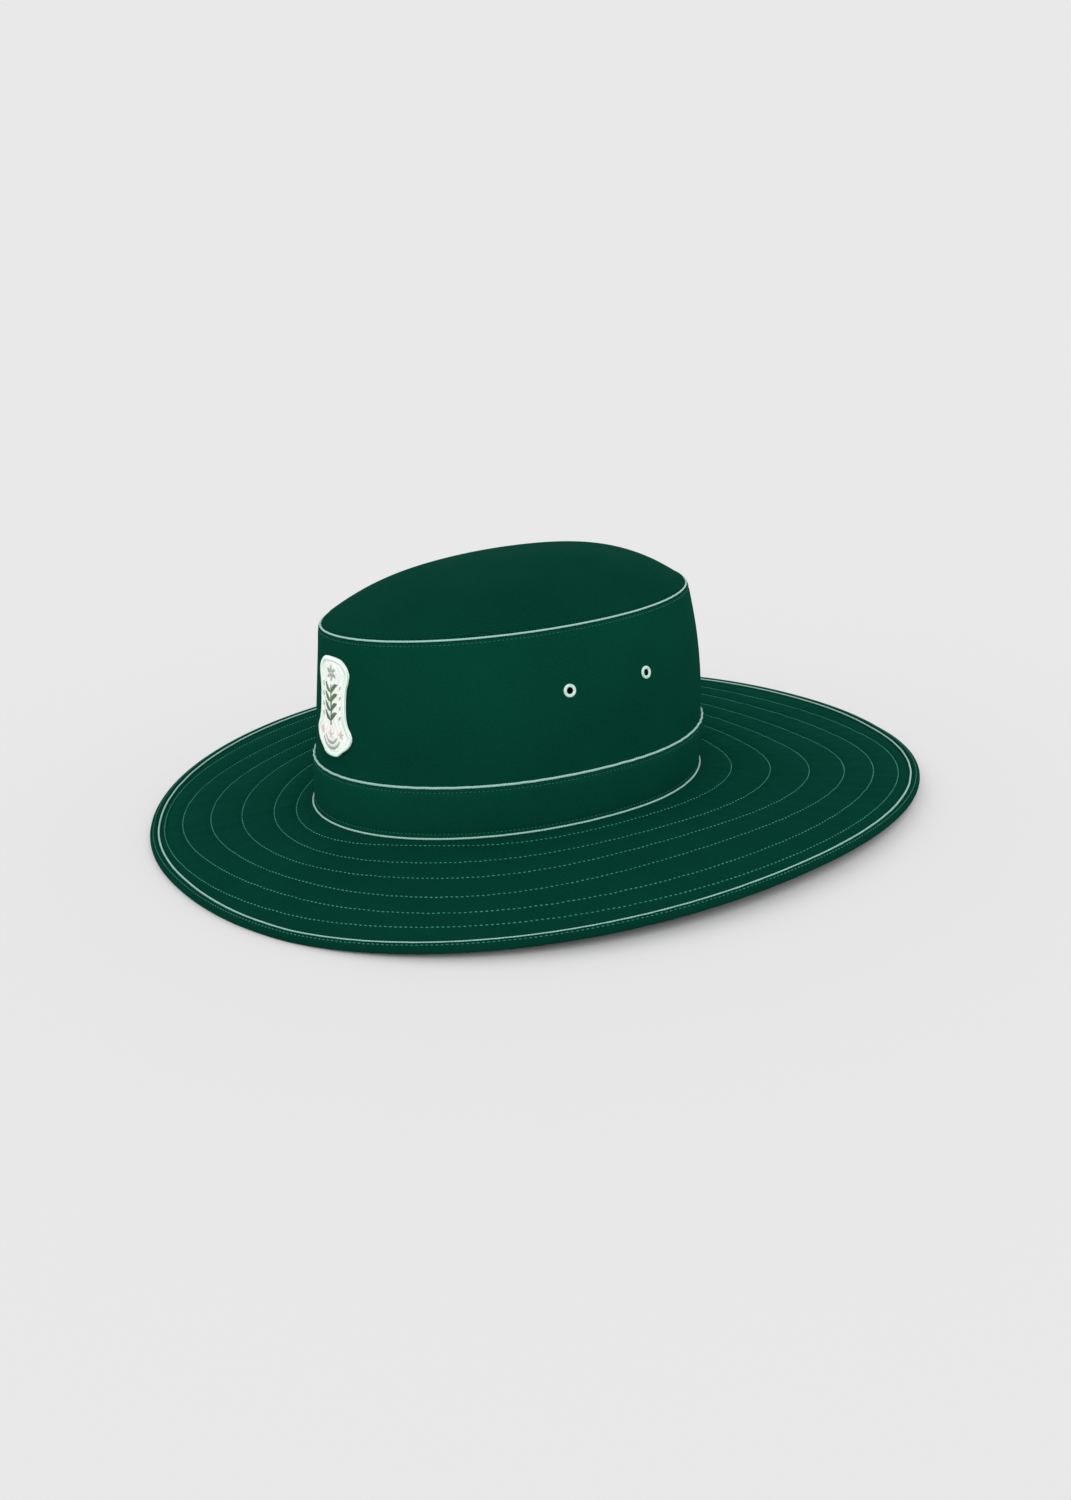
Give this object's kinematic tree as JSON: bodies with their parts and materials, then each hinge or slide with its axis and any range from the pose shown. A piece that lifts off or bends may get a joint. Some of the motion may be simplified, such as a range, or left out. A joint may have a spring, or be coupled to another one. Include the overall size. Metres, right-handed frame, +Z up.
{
  "type": "wide-brim hat",
  "caption": "Soft cotton sun hat with a domed oval crown, a band at its foot, pale corded seams, four vent eyelets, a sprig patch and a wide quilted brim.",
  "frame": {"origin": "under the middle of the brim, on the surface that the hat lies on", "axes": "+Z up, the badge at the front faces -Y, +X is the wearer's left"},
  "size_m": [0.373, 0.3946, 0.1223],
  "materials": {
    "crown_cotton": "bottle-green cotton drill, matt",
    "brim_cotton": "bottle-green cotton drill, two layers stitched in rows",
    "binding_tape": "dark green cotton tape",
    "pale_piping": "pale mint twisted cord",
    "pale_enamel": "pale mint enamel on pressed metal",
    "white_embroidery": "white thread, close embroidery"
  },
  "bodies": {
    "root": {"crown_tip": "crown_cotton", "crown_wall": "crown_cotton", "hat_band": "crown_cotton", "brim": "brim_cotton", "brim_binding": "binding_tape", "tip_piping": "pale_piping", "band_piping": "pale_piping", "foot_piping": "pale_piping", "brim_piping": "pale_piping", "eyelet_left_front": "pale_enamel", "eyelet_left_back": "pale_enamel", "eyelet_right_front": "pale_enamel", "eyelet_right_back": "pale_enamel", "badge": "white_embroidery"}
  },
  "joints": []
}
